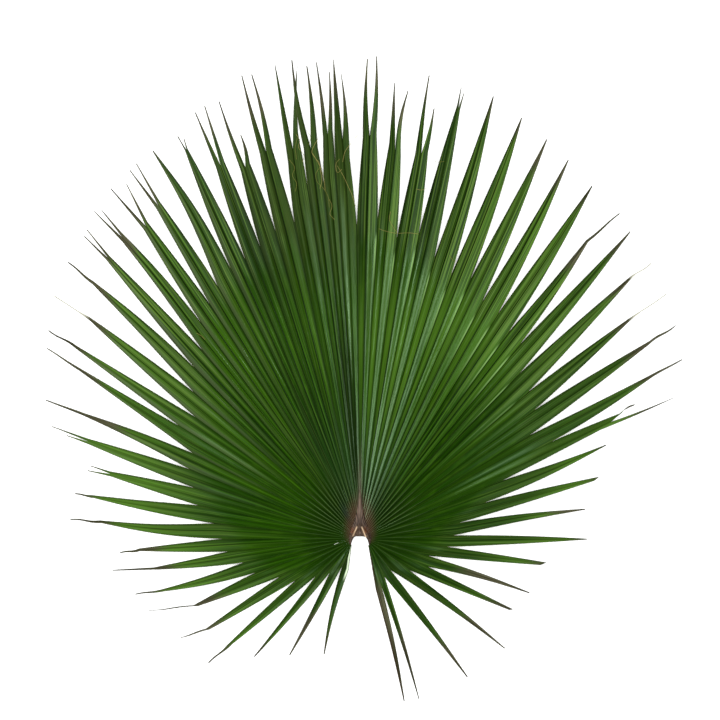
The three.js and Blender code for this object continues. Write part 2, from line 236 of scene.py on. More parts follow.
class Slab:
    """A closed sheet of quads with its own upper and lower face, and numbers kept for materials."""

    def __init__(self, thickness):
        self.thickness = thickness
        self.points = []
        self.values = {}
        self.faces = []
        self.facets = []

    def point(self, place, height, **values):
        for name, value in values.items():
            self.values.setdefault(name, []).append(float(value))
        self.points.append((place[0], place[1], height))
        return len(self.points) - 1

    def rows(self, rows, facets):
        for near, far in zip(rows, rows[1:]):
            for k in range(len(near) - 1):
                self.faces.append((near[k], near[k + 1], far[k + 1], far[k]))
                self.facets.append(facets[k])

    def mesh(self, name):
        count = len(self.points)
        middle = np.array(self.points)
        half = np.array([0, 0, self.thickness / 2])
        corners = np.concatenate([middle + half, middle - half]) * MM
        faces = list(self.faces)
        faces += [tuple(count + k for k in reversed(face)) for face in self.faces]
        facets = self.facets * 2
        under = [0.0] * len(self.faces) + [1.0] * len(self.faces)
        owner = {}
        for number, face in enumerate(self.faces):
            for k, a in enumerate(face):
                owner[a, face[(k + 1) % len(face)]] = number
        for (a, b), number in owner.items():
            if (b, a) not in owner:
                faces.append((b, a, count + a, count + b))
                facets.append(self.facets[number])
                under.append(0.5)
        mesh = bpy.data.meshes.new(name)
        mesh.from_pydata([tuple(c) for c in corners], [], faces)
        store(mesh, {key: values * 2 for key, values in self.values.items()}, "POINT")
        store(mesh, {"facet": facets, "under": under}, "FACE")
        mesh.validate()
        return mesh


LEAF_EDGE_ANGLE = 50
THREAD_EDGE_ANGLE = 80


def place_piece(mesh, name, material, edge_angle):
    """Puts a mesh in the scene as a piece of the leaf, with sharp edges past an angle in degrees."""
    piece = bpy.data.objects.new(name, mesh)
    bpy.context.scene.collection.objects.link(piece)
    mesh.materials.append(material)
    mesh.shade_smooth()
    mesh.set_sharp_from_angle(angle=math.radians(edge_angle))
    return piece


def srgb(r, g, b):
    """A colour as seen on a screen, 0 to 255, as the shader's own numbers."""
    return [((c / 255 + 0.055) / 1.055) ** 2.4 if c > 10 else c / 255 / 12.92 for c in (r, g, b)] + [1]


# Inputs of a mix node that blends colours
MIX_SHARE, MIX_FIRST, MIX_SECOND = 0, 6, 7
MIX_RESULT = 2


class Shader:
    """A material with one principled surface, and short calls that add nodes to it."""

    def __init__(self, name):
        self.material = bpy.data.materials.new(name)
        self.material.use_nodes = True
        self.tree = self.material.node_tree
        self.surface = self.tree.nodes["Principled BSDF"]

    def node(self, kind, inputs=(), **settings):
        node = self.tree.nodes.new(kind)
        for key, value in settings.items():
            setattr(node, key, value)
        for key, value in inputs:
            self.feed(node.inputs[key], value)
        return node

    def feed(self, socket, value):
        if isinstance(value, bpy.types.NodeSocket):
            self.tree.links.new(value, socket)
        else:
            socket.default_value = value

    def number(self, name):
        return self.node("ShaderNodeAttribute", attribute_name=name).outputs["Fac"]

    def math(self, kind, a, b=0.0, c=0.0):
        return self.node("ShaderNodeMath", [(0, a), (1, b), (2, c)], operation=kind).outputs[0]

    def step(self, value, start, end, low=0.0, high=1.0):
        """Goes smoothly from low to high while the value goes from start to end."""
        inputs = [("Value", value), ("From Min", start), ("From Max", end), ("To Min", low), ("To Max", high)]
        return self.node("ShaderNodeMapRange", inputs, interpolation_type="SMOOTHSTEP").outputs[0]

    def keep(self, mask, share):
        """Is 1, and falls to a share where the mask is full."""
        return self.step(mask, 0.0, 1.0, 1.0, share)

    def times(self, *shares):
        result = shares[0]
        for share in shares[1:]:
            result = self.math("MULTIPLY", result, share)
        return result

    def plus(self, *parts):
        result = parts[0]
        for part in parts[1:]:
            result = self.math("ADD", result, part)
        return result

    def blend(self, share, a, b):
        inputs = [(MIX_SHARE, share), (MIX_FIRST, a), (MIX_SECOND, b)]
        return self.node("ShaderNodeMix", inputs, data_type="RGBA").outputs[MIX_RESULT]

    def noise(self, place, scales, detail=2.0, roughness=0.5):
        """Soft noise at a place given by numbers, each with a scale of its own."""
        pairs = enumerate(zip(place, scales))
        scaled = [(k, self.math("MULTIPLY", value, scale)) for k, (value, scale) in pairs]
        vector = self.node("ShaderNodeCombineXYZ", scaled).outputs[0]
        inputs = [("Vector", vector), ("Scale", 1.0), ("Detail", detail), ("Roughness", roughness)]
        return self.node("ShaderNodeTexNoise", inputs).outputs["Fac"]

    def chance(self, value, seed):
        """A number from 0 to 1 drawn from another."""
        seeded = self.math("ADD", value, seed)
        return self.node("ShaderNodeTexWhiteNoise", [("W", seeded)], noise_dimensions="1D").outputs[0]

    def finish(self, color, roughness, specular, bump=None, strength=0.3, distance=0.0004):
        self.feed(self.surface.inputs["Base Color"], color)
        self.feed(self.surface.inputs["Roughness"], roughness)
        self.surface.inputs["Specular IOR Level"].default_value = specular
        if bump is not None:
            inputs = [("Strength", strength), ("Distance", distance), ("Height", bump)]
            self.feed(self.surface.inputs["Normal"], self.node("ShaderNodeBump", inputs).outputs[0])
        return self.material


# Colours of the blade, of its notch and hub, of the costa, and of the threads and the floor, with
# seeds for what is drawn for each side of a fold and for each thread
DEEP_GREEN = srgb(20, 50, 0)
MID_GREEN = srgb(34, 73, 1)
BLUE_GREEN = srgb(28, 58, 22)
YELLOW_GREEN = srgb(58, 96, 8)
LIGHT_GREEN = srgb(88, 132, 38)
OLIVE = srgb(56, 68, 18)
BROWN_GREEN = srgb(42, 58, 8)
# Painted shade in valleys, beside ridges and near the hub, and also the colour of dark veins
SHADE_AND_DARK_VEIN = srgb(8, 22, 0)
# Pale veins, and also a painted highlight on the folds
PALE_VEIN_AND_HIGHLIGHT = srgb(96, 124, 50)
# Painted sheen beside the ridges
RIDGE_SHEEN_GREY = srgb(96, 106, 76)
# Painted highlight on the ridge lips
LIP_HIGHLIGHT = srgb(134, 172, 102)
MARGIN_DARK = srgb(40, 36, 14)
MARGIN_PALE = srgb(96, 94, 54)
DRY_BROWN = srgb(48, 44, 28)
DRY_GREY = srgb(98, 96, 72)
BLEACHED = srgb(184, 182, 168)
UNDER_GREEN = srgb(64, 88, 46)
LEAF_SHEEN = (0.62, 1, 0.56, 1)

HUB_RIDGE = srgb(106, 120, 84)
HUB_BROWN = srgb(62, 44, 30)
HUB_PINK = srgb(108, 90, 74)
NOTCH_PALE = srgb(206, 222, 190)
BRUISE = srgb(32, 40, 38)
STEM_GREY = srgb(88, 82, 68)

COSTA_DARK = srgb(34, 24, 16)
COSTA_LIGHT = srgb(104, 84, 70)
COSTA_RUST = srgb(112, 64, 34)
COSTA_CREST_PINK = srgb(122, 102, 88)
COSTA_CREST_GREY = srgb(78, 82, 58)
COSTA_RIM = srgb(40, 26, 18)
HASTULA_TAN = srgb(214, 184, 150)
LEAF_FINISH = dict(specular=0.3, strength=0.3, distance=0.0006)
COSTA_FINISH = dict(roughness=0.6, specular=0.2, strength=0.7, distance=0.0008)

THREAD_OLIVE = srgb(106, 110, 42)
THREAD_TAN = srgb(150, 140, 78)
THREAD_PALE = srgb(226, 236, 214)
FLOOR_WHITE = srgb(249, 249, 249)

YELLOW_SEED = 0.5
HIGHLIGHT_SEED = 7.5
THREAD_SEED = 0.5


class BladeShader(Shader):
    """The blade's material: colours painted over each other, from the numbers kept on its net.

    Distances are in millimetres: across a fold from its valley and along it, to its ridge, to the
    cleft behind, to the tip ahead and from the hub. Ahead and east are the direction from the
    hub, each -1 to 1, and rise goes from 0 in the valley to 1 on the ridge."""

    def __init__(self):
        super().__init__("palm_blade")
        self.across, self.along, self.facet = map(self.number, ("across", "along", "facet"))
        self.ridge, self.cleft, self.tip = map(self.number, ("ridge", "cleft", "tip"))
        self.ahead, self.east, self.hub = map(self.number, ("ahead", "east", "hub"))
        self.rise = self.number("rise")

        # The free fingers, the top of the leaf, its more even sides, its left half, and the part
        # left of the top where the fingers have browned
        self.free = self.step(self.cleft, 50.0, 0.0)
        self.top = self.step(self.ahead, 0.8, 0.97)
        self.smooth = self.step(self.ahead, 0.8, 0.5)
        self.west = self.step(self.east, 0.02, -0.02)
        browned = self.times(self.step(self.east, -0.4, -0.25), self.step(self.east, 0.02, -0.03))
        self.browned = self.times(browned, self.step(self.hub, 330.0, 480.0), self.step(self.ahead, 0.0, 0.5))

        # Streaks along the veins: broad ones, fine ones, single veins, and blotches of a few centimetres
        self.broad = self.streaks(0.3, 0.004)
        self.fine = self.streaks(1.1, 0.012)
        self.vein = self.streaks(0.8, 0.003, detail=1.0)
        self.blotch = self.streaks(0.12, 0.03, detail=3.0)

        # Dry ends are ragged where they meet the green
        ragged = self.math("MULTIPLY_ADD", self.streaks(0.8, 0.02, detail=3.0), 70.0, -35.0)
        self.dryness = self.step(self.plus(self.number("dry"), ragged), 16.0, -22.0)

    def streaks(self, across, along, detail=2.0):
        return self.noise((self.across, self.along, self.facet), (across, along, 1.0), detail)

    def paint(self, share, color):
        self.color = self.blend(share, self.color, color)


def paint_greens(s):
    """Streaks of two greens, lighter outward and at the free ends, and deep round the hub, on top
    and at the right."""
    s.color = s.blend(s.step(s.broad, 0.35, 0.68), DEEP_GREEN, MID_GREEN)
    s.paint(s.step(s.hub, 200.0, 360.0, 0.0, 0.12), LIGHT_GREEN)
    ends = s.times(s.step(s.tip, 240.0, 60.0, 0.0, 0.6), s.keep(s.top, 0.2))
    s.paint(s.times(ends, s.step(s.hub, 110.0, 280.0)), LIGHT_GREEN)
    shaded = s.times(s.top, s.step(s.hub, 260.0, 460.0, 0.0, 0.9))
    right = s.times(s.step(s.east, 0.5, 0.8, 0.0, 0.65), s.step(s.tip, 40.0, 120.0))
    s.paint(s.plus(shaded, right), DEEP_GREEN)
    s.paint(s.step(s.hub, 110.0, 50.0, 0.0, 0.6), DEEP_GREEN)

    # Painted sheen: lighter again right of the middle and toward the upper right
    middle = s.times(s.step(s.ahead, 0.84, 0.97), s.step(s.east, -0.1, 0.08), s.step(s.across, 0.6, -0.6))
    middle = s.times(middle, s.step(s.hub, 70.0, 120.0), s.step(s.hub, 420.0, 300.0, 0.0, 0.45))
    upper_right_sheen = s.times(s.step(s.east, 0.2, 0.4), s.step(s.ahead, 0.6, 0.75))
    upper_right_sheen = s.times(upper_right_sheen, s.step(s.hub, 240.0, 400.0, 0.0, 0.3))
    s.paint(s.plus(middle, upper_right_sheen), LIGHT_GREEN)


def paint_patches(s):
    """Yellow-green blotches and sides of folds, and a blue tinge ahead of the hub."""
    s.paint(s.step(s.blotch, 0.5, 0.75, 0.0, 0.3), YELLOW_GREEN)
    yellow = s.step(s.chance(s.facet, YELLOW_SEED), 0.5, 1.0, 0.0, 0.35)
    s.paint(s.times(yellow, s.step(s.hub, 60.0, 200.0)), YELLOW_GREEN)
    s.paint(s.times(s.step(s.ahead, 0.75, 0.95, 0.0, 0.7), s.step(s.hub, 240.0, 90.0)), BLUE_GREEN)


def paint_veins(s):
    """Dark and pale veins, stronger on the free fingers, which are flecked with olive too."""
    dark = s.times(s.step(s.vein, 0.5, 0.56, 0.0, 0.75), s.step(s.free, 0.0, 1.0, 0.35, 1.0))
    s.paint(s.times(dark, s.keep(s.smooth, 0.6)), SHADE_AND_DARK_VEIN)
    pale = s.times(s.step(s.vein, 0.46, 0.39, 0.0, 0.6), s.step(s.free, 0.0, 1.0, 0.3, 1.0))
    s.paint(s.times(pale, s.keep(s.smooth, 0.5)), PALE_VEIN_AND_HIGHLIGHT)
    s.paint(s.times(s.step(s.fine, 0.52, 0.7, 0.0, 0.5), s.free), OLIVE)


def paint_shade(s):
    """Painted shade in a dark band just left of the middle, and the browned fingers left of the top."""
    # Painted shade: a dark band along the folds just left of the middle
    band = s.times(s.step(s.east, -0.15, -0.1), s.step(s.east, -0.02, -0.05), s.step(s.ahead, 0.0, 0.5))
    band = s.times(band, s.step(s.hub, 60.0, 90.0), s.step(s.hub, 420.0, 200.0, 0.0, 0.7))
    s.paint(band, SHADE_AND_DARK_VEIN)
    s.paint(s.times(s.browned, s.step(s.blotch, 0.35, 0.6, 0.25, 0.75)), BROWN_GREEN)


def paint_folds(s):
    """Painted light and shade on the folds: a painted highlight in the middle of some sides, and painted
    shade in the valleys. Each ridge has painted shade on the side away from the leaf's middle, and its
    other side has a grey band of painted sheen on the left half of the leaf and a narrow pale lip of
    painted highlight on the right."""
    # Painted highlight in the middle of some sides of the folds
    light = s.times(s.step(s.rise, 0.1, 0.3), s.step(s.rise, 0.75, 0.45), s.step(s.hub, 200.0, 360.0))
    light = s.times(light, s.step(s.tip, 60.0, 200.0), s.keep(s.top, 0.2))
    s.paint(s.times(light, s.step(s.chance(s.facet, HIGHLIGHT_SEED), 0.3, 1.0, 0.0, 0.4)), PALE_VEIN_AND_HIGHLIGHT)
    # Painted shade along the valleys
    valley = s.times(s.step(s.across, -1.8, -0.2), s.step(s.across, 1.1, 0.3))
    valley = s.times(valley, s.step(s.tip, 40.0, 160.0), s.step(s.hub, 40.0, 140.0, 0.35, 0.9))
    s.paint(s.times(valley, s.keep(s.smooth, 0.4)), SHADE_AND_DARK_VEIN)

    # Across a fold as seen from the leaf's middle: above 0 where the side faces it
    inward = s.times(s.across, s.keep(s.west, -1.0))
    outward = s.step(s.hub, 90.0, 200.0)
    # Painted shade on the side of each ridge away from the leaf's middle
    away_shade = s.times(s.step(s.ridge, s.step(s.west, 0.0, 1.0, 2.6, 4.4), 1.2), s.step(inward, 0.0, -0.5))
    away_shade = s.times(away_shade, s.step(s.hub, 60.0, 200.0, 0.2, 0.75))
    s.paint(s.times(away_shade, s.keep(s.smooth, 0.5)), SHADE_AND_DARK_VEIN)
    # Painted sheen: a grey band beside the ridges on the left half of the leaf
    grey = s.times(s.west, s.step(s.ridge, 8.0, 3.5), s.step(inward, 0.0, 0.5), outward)
    grey = s.times(grey, s.step(s.ahead, 0.1, 0.6), s.step(s.ahead, 0.85, 0.96, 1.0, 0.2))
    s.paint(s.times(grey, s.step(s.cleft, 0.0, 200.0, 0.45, 0.1)), RIDGE_SHEEN_GREY)
    # Painted highlight: a narrow pale lip beside the ridges on the right half of the leaf
    lip = s.times(s.step(s.ridge, 2.6, 1.4), s.step(inward, 0.0, 0.5), s.step(s.cleft, 140.0, 30.0, 0.0, 0.8))
    lip = s.times(lip, s.step(s.free, 0.6, 0.0), s.step(s.west, 1.0, 0.0), outward)
    s.paint(s.times(lip, s.step(s.east, 0.85, 0.65)), LIP_HIGHLIGHT)
    edge = s.blend(s.step(s.fine, 0.4, 0.6), MARGIN_DARK, MARGIN_PALE)
    s.paint(s.step(s.number("margin"), 1.0, 0.3, 0.0, 0.6), edge)


def paint_hub(s):
    """Close to the hub the valleys are painted nearly black as shade, and the ridges are fine pale lines."""
    close = s.step(s.hub, 120.0, 45.0)
    s.paint(s.times(s.step(s.rise, 0.8, 0.3), close, s.step(s.ahead, -0.2, 0.6, 0.5, 0.8)), SHADE_AND_DARK_VEIN)
    s.paint(s.times(s.step(s.rise, 0.84, 1.0), close, s.step(s.ahead, -0.2, 0.6, 0.25, 0.9)), HUB_RIDGE)


def paint_dry_ends(s):
    s.paint(s.dryness, s.blend(s.step(s.fine, 0.4, 0.7), DRY_BROWN, DRY_GREY))
    s.paint(s.number("faint"), BLEACHED)


def paint_notch(s):
    """The brown heel round the stalk, the margins beside the notch, pale on the left and dark on
    the right, the bruise, and the grey rib that goes on from the costa."""
    uneven = s.math("MULTIPLY_ADD", s.fine, 12.0, -6.0)
    heel = s.step(s.plus(s.number("heel"), uneven), 36.0, 15.0)
    s.paint(heel, s.blend(s.step(s.rise, 0.75, 1.0), HUB_BROWN, HUB_PINK))
    s.paint(s.step(s.number("dark_edge"), 2.6, 1.2, 0.0, 0.9), HUB_BROWN)
    pale_edge = s.number("pale_edge")
    edge = s.blend(s.step(pale_edge, 0.9, 0.5), NOTCH_PALE, MARGIN_DARK)
    s.paint(s.times(s.step(pale_edge, 3.6, 2.8), s.step(s.hub, 78.0, 62.0)), edge)
    s.paint(s.number("bruise"), BRUISE)
    s.paint(s.times(s.number("stem"), s.step(s.hub, 150.0, 70.0, 0.0, 0.8)), STEM_GREY)


def blade_material():
    """All layers in turn, the underside's last. Dry ends, free fingers and the sides are rougher."""
    s = BladeShader()
    paint_greens(s)
    paint_patches(s)
    paint_veins(s)
    paint_shade(s)
    paint_folds(s)
    paint_hub(s)
    paint_dry_ends(s)
    paint_notch(s)
    s.paint(s.times(s.number("under"), 0.7), UNDER_GREEN)
    sides = s.times(s.smooth, s.step(s.hub, 120.0, 240.0, 0.0, 0.2))
    roughness = s.plus(s.step(s.fine, 0.3, 0.7, 0.2, 0.3), s.times(s.dryness, 0.35), s.times(s.free, 0.26))
    roughness = s.plus(roughness, sides, s.times(s.browned, 0.2))
    relief = s.times(s.math("MULTIPLY_ADD", s.broad, 2.0, s.fine), s.step(s.hub, 90.0, 260.0, 0.4, 1.0))
    s.surface.inputs["Specular Tint"].default_value = LEAF_SHEEN
    return s.finish(s.color, roughness, bump=relief, **LEAF_FINISH)


def costa_material():
    """Brown fibres that fan out from the stalk, rusty in places, with a paler crest."""
    s = Shader("palm_costa")
    turn, reach, middle = s.number("turn"), s.number("reach"), s.number("middle")
    fibre = s.noise((turn, reach), (14.0, 0.08), detail=4.0, roughness=0.6)
    ribs = s.math("MULTIPLY_ADD", s.number("fold"), 0.12, fibre)
    color = s.blend(s.step(ribs, 0.38, 0.68), COSTA_DARK, COSTA_LIGHT)
    rust = s.times(s.step(s.noise((turn, reach), (9.0, 0.3)), 0.35, 0.6), s.number("rust"))
    color = s.blend(rust, color, COSTA_RUST)
    crest = s.times(s.step(middle, 3.4, 1.8, 0.0, 0.55), s.step(reach, 14.0, 36.0))
    color = s.blend(crest, color, s.blend(s.step(reach, 40.0, 70.0), COSTA_CREST_PINK, COSTA_CREST_GREY))
    color = s.blend(s.step(s.number("rim"), 0.0, 1.0, 0.0, 0.8), color, COSTA_RIM)
    color = s.blend(s.number("tan"), color, HASTULA_TAN)
    return s.finish(color, bump=fibre, **COSTA_FINISH)


def thread_material():
    s = Shader("palm_thread")
    color = s.blend(s.chance(s.number("strand"), THREAD_SEED), THREAD_OLIVE, THREAD_TAN)
    return s.finish(s.blend(s.number("pale"), color, THREAD_PALE), roughness=0.6, specular=0.2)


# A dark blotch on the left of the costa, and the grey rib that goes on from the costa's tip
BRUISE_SPOT = (-18, 29)
BRUISE_WIDTH = 6
BRUISE_SHARE = 0.8
STEM_WIDTH = 2.8

# How fast the distance from the brown heel grows across, ahead of the hub and behind it
HEEL_ACROSS = 1.25
HEEL_AHEAD = 0.5
HEEL_BEHIND = 1.4


def place_values(spot):
    """Where a point of the blade lies round the hub, its distance from the heel, and its shares of
    the bruise and the grey rib."""
    hub = np.linalg.norm(spot)
    heel = math.hypot(spot[0] * HEEL_ACROSS, spot[1] * (HEEL_AHEAD if spot[1] > 0 else HEEL_BEHIND))
    bruise = BRUISE_SHARE * math.exp(-(math.dist(spot, BRUISE_SPOT) / BRUISE_WIDTH) ** 2)
    stem = math.exp(-(spot[0] / STEM_WIDTH) ** 2) if spot[1] > 0 else 0
    return dict(hub=hub, ahead=spot[1] / hub, east=spot[0] / hub, heel=heel, bruise=bruise, stem=stem)


class Blade:
    """The green blade, with the places and heights of the solid one on a finer net."""

    def __init__(self):
        self.slab = Slab(BLADE_THICKNESS)
        self.clefts = [FIRST_MARGIN] + [finger["cleft"] for finger in FINGERS]
        pairs = zip(self.clefts, self.clefts[1:])
        self.middles = [tuple(lerp(a, b, 0.5) for a, b in zip(left, right)) for left, right in pairs]
        shared = []
        for i, finger in enumerate(FINGERS):
            ends = np.mean(finger.get("tips", [finger.get("tip")]), axis=0)
            free_length = np.linalg.norm(polar(ends) - polar(self.middles[i]))
            tail_length = finger["tail"][1] - ends[1] if "tail" in finger else 0
            rows = self.web_rows(i, free_length + tail_length)
            if shared:
                for row, corner in zip(rows, shared):
                    row[0] = corner
            shared = [row[-1] for row in rows]
            self.lay_folds(i, rows)
            self.free_finger(i, rows[-1], tuple(ends), free_length, tail_length)

    def lay_folds(self, i, rows):
        """Joins rows of finger i; the two sides of its fold are facets of their own."""
        self.slab.rows(rows, [2 * i] * HALF + [2 * i + 1] * HALF)

    def cleft_height(self, n):
        return CLEFT_HEIGHT + CLEFT_SPREAD * (scatter(n) - 0.5)

    def web_height(self, t, reach, end):
        return lerp(HUB_HEIGHT, end, t) + BOW * (reach / BOW_REACH) * math.sin(math.pi * t)

    def tip_height(self, n, width):
        if n in RESTING_FINGERS:
            return (SOLID_THICKNESS + PLEAT * width) / 2
        return TIP_HEIGHT + TIP_SPREAD * scatter(n + TIP_SEED)

    def width_at(self, i, t):
        left, right, direction = self.clefts[i], self.clefts[i + 1], self.middles[i][0]
        near = straight_across(root_of(left[0]), root_of(right[0]), direction)
        return lerp(near, straight_across(polar(left), polar(right), direction), t)

    def ridge_at(self, i, t):
        left, right = max(0, i - 1), min(i, len(FINGERS) - 1)
        depth = PLEAT * (self.width_at(left, t) + self.width_at(right, t)) / 2
        cleft = self.clefts[i]
        height = self.web_height(t, cleft[1], self.cleft_height(i)) + depth / 2
        return lerp(root_of(cleft[0]), polar(cleft), t), height

    def valley_at(self, i, t):
        middle = self.middles[i]
        end = (self.cleft_height(i) + self.cleft_height(i + 1)) / 2
        height = self.web_height(t, middle[1], end) - PLEAT * self.width_at(i, t) / 2
        return lerp(root_of(middle[0]), polar(middle), t), height

    def add(self, i, spot, height, cleft, tip, **numbers):
        """A point of finger i, with its distances to the cleft behind it and to the tip ahead."""
        numbers.update(place_values(spot), cleft=cleft, tip=tip, dry=tip - DRY_ENDS[i])
        numbers.setdefault("faint", 0)
        return self.slab.point(spot, height, **numbers)

    def column(self, i, a, valley, side, sign, values):
        """A point between the valley and one side of a fold; both are a place and a height."""
        (place, height), (side_place, side_height) = valley, side
        width = np.linalg.norm(side_place - place)
        spot = lerp(place, side_place, a)
        crease = CREASE_DEPTH * min(1, width / CREASE_FULL_WIDTH)
        far = np.interp(np.linalg.norm(spot), (HUB_SHAPE_END, FAR_SHAPE_START), (0, 1))
        wave = lerp(HUB_EDGE, FAR_EDGE, far) * math.sin(2 * math.pi * a) / (2 * math.pi)
        shape = (side_height - height) * (wave + HUB_LEAN * (1 - far) * a * (a - 1))
        shape -= crease * max(0, 1 - a * width / CREASE_WIDTH)
        shape += crease * max(0, 1 - (1 - a) * width / CREASE_WIDTH)
        to_side = (1 - a) * width
        numbers = dict(values, across=sign * a * width, ridge=to_side, rise=a)
        numbers["margin"] = math.hypot(to_side, values["cleft"])
        numbers["pale_edge"] = to_side if i == 0 and sign < 0 else FAR
        numbers["dark_edge"] = to_side if i == len(FINGERS) - 1 and sign > 0 else FAR
        return self.add(i, spot, lerp(height, side_height, a) + shape, **numbers)

    def fold_row(self, i, valley, left, right, values):
        row = [self.column(i, a, valley, left, -1, values) for a in reversed(ACROSS)]
        return row + [self.column(i, a, valley, right, 1, values) for a in ACROSS[1:]]

    def web_rows(self, i, free_length):
        rows = []
        for k in range(WEB_ROWS + 1):
            t = k / WEB_ROWS
            reach = self.middles[i][1]
            to_cleft = (1 - t) * reach
            values = dict(along=t * reach, cleft=to_cleft, tip=free_length + to_cleft)
            folds = self.valley_at(i, t), self.ridge_at(i, t), self.ridge_at(i + 1, t)
            rows.append(self.fold_row(i, *folds, values))
        return rows

    def free_finger(self, i, first, end, length, tail_length):
        """The free part of one segment, past its clefts."""
        finger = FINGERS[i]
        start_reach = self.middles[i][1]
        start, left, right = [polar(spot) for spot in (self.middles[i], self.clefts[i], self.clefts[i + 1])]
        full_width = self.width_at(i, 1)
        end_width = finger.get("blunt", TAIL_WIDTH if "tail" in finger else TIP_WIDTH)
        start_height = (self.cleft_height(i) + self.cleft_height(i + 1)) / 2
        end_height = self.tip_height(i + 1, end_width)
        split = (finger["split"] - start_reach) / (end[1] - start_reach) if "split" in finger else 1

        def share(u):
            return lerp(end_width / full_width, 1, 1 - u ** finger.get("taper", TAPER))

        def fold_at(u):
            centre = bowed(start, polar(end), finger.get("bend", 0), u)
            fold = PLEAT * full_width * share(u) / 2
            height = lerp(start_height, end_height, u ** DROOP)
            sides = [(centre + (side - start) * share(u), height + fold) for side in (left, right)]
            return (centre, height - fold), sides[0], sides[1]

        def values(u):
            return dict(along=start_reach + u * length, cleft=0, tip=(1 - u) * length + tail_length)

        rows = [first]
        for k in range(1, BLADE_ROWS + 1):
            u = split * k / BLADE_ROWS
            rows.append(self.fold_row(i, *fold_at(u), values(u)))
        self.lay_folds(i, rows)

        if "split" in finger:
            stations = [lerp(split, 1, k / TIP_ROWS) for k in range(TIP_ROWS + 1)]
            narrowing = [share(u) / share(split) for u in stations]
            steps = [values(u) for u in stations]
            sways = finger.get("sways", (0, 0))
            rests = finger.get("rests", (end_height, end_height))
            valley, *sides = fold_at(split)
            halves = rows[-1][HALF::-1], rows[-1][HALF:]
            for k in range(2):
                self.half_tip(i, k, halves[k], (valley, sides[k]), finger["tips"][k], sways[k], rests[k],
                              narrowing, steps)
        if "tail" in finger:
            self.dry_tail(i, rows[-1], fold_at(1), polar(finger["tail"]), end_height, values(1))

    def half_tip(self, i, side, first, edges, tip, sway, rest, narrowing, steps):
        """The left (0) or right (1) half of a split finger, from the split to its own tip."""
        (place_a, high_a), (place_b, high_b) = edges
        middle = lerp(place_a, place_b, 0.5)
        width = np.linalg.norm(place_b - place_a)
        rows = [first]
        for k in range(1, TIP_ROWS + 1):
            v = k / TIP_ROWS
            narrow = max(narrowing[k], TIP_WIDTH / width)
            centre = bowed(middle, polar(tip), sway, v)
            row = []
            for a in ACROSS:
                spot = centre + (lerp(place_a, place_b, a) - middle) * narrow
                height = lerp(lerp(high_a, high_b, a), rest, v)
                height += TIP_BULGE * width * narrow * math.sin(math.pi * a) * min(1, 2 * v)
                inner, outer = a * width * narrow, (1 - a) * width * narrow
                numbers = dict(steps[k], across=(2 * side - 1) * inner, ridge=outer, rise=a)
                numbers.update(margin=min(inner, outer), pale_edge=FAR, dark_edge=FAR)
                row.append(self.add(i, spot, height, **numbers))
            rows.append(row)
        if side == 0:
            rows = [row[::-1] for row in rows]
        self.slab.rows(rows, [2 * i + side] * HALF)

    def dry_tail(self, i, first, last_fold, finish, end_height, values):
        """The thin dry end past the tip, slightly waved."""
        (centre, low), *sides = last_fold
        faint = i + 1 in FAINT_TAILS
        rows = [first]
        for k in range(1, TAIL_ROWS + 1):
            v = k / TAIL_ROWS
            narrow = lerp(1, TAIL_END_WIDTH / TAIL_WIDTH, min(1, FAINT_NARROWING * v) if faint else v)
            wave = TAIL_WAVE * (scatter(i + TAIL_SEED) - 0.5) * math.sin(2 * math.pi * v)
            spot = lerp(centre, finish, v) + bowed(centre, finish, wave, 0.5) - lerp(centre, finish, 0.5)
            height = lerp(low, end_height, v)
            left, right = [(spot + (place - centre) * narrow, height + (high - low) * narrow)
                           for place, high in sides]
            length = values["tip"]
            numbers = dict(values, along=values["along"] + v * length, tip=(1 - v) * length)
            numbers["faint"] = float(faint)
            rows.append(self.fold_row(i, (spot, height), left, right, numbers))
        self.lay_folds(i, rows)


# The costa, with the outline and heights of its solid; its rim and tip go on under the blade
COSTA_UNDER = 0.8
COSTA_DIP = 1.8
COSTA_DIP_POWER = 8
COSTA_START = -18.5
COSTA_TIP = 74
COSTA_TIP_WIDTH = 1.3
COSTA_FLAT = 0.5
COSTA_FLANK = 1.5
COSTA_FLAT_END = 42
COSTA_SIDE_HEIGHT = 7
COSTA_CREST = 2.6
COSTA_SINK_START = 50
COSTA_SINK = 5
COSTA_ROWS = 92
COSTA_COLUMNS = 48
NOTCH_TOP = -5
NOTCH_ROUNDING = 5
ARCH_END = 6
RIM_ROWS = 3
HASTULA_HEIGHT = 3
HASTULA_Y = 9
HASTULA_SWEEP = 26
HASTULA_THICKNESS = 4
FOLD_CENTRE = -8
FOLD_TURN = 0.09
FOLD_RELIEF = 0.3

# The two tan edges of the hastula, from top to bottom, and the rusty patches beside them
TAN_LINES = [((-4.8, 9), (-10.4, -4)), ((2.7, 9), (8.6, -6))]
TAN_WIDTH = 0.8
RUST_SPOTS = [(-11, 3), (8.5, 4)]
RUST_WIDTH = 4.5


def away(spot, start, end):
    """How far a place is from a line between two others."""
    spot, start, end = np.array(spot), np.array(start), np.array(end)
    line = end - start
    t = np.clip(np.dot(spot - start, line) / np.dot(line, line), 0, 1)
    return np.linalg.norm(start + line * t - spot)


def half_width(y):
    """Half of the costa's width: out to where the folds leave it, and a little under the blade."""
    ys = [r[2] for r in reversed(ROOTS)]
    xs = [r[1] for r in reversed(ROOTS)]
    return max(COSTA_TIP_WIDTH, np.interp(y, ys, xs) + COSTA_UNDER)


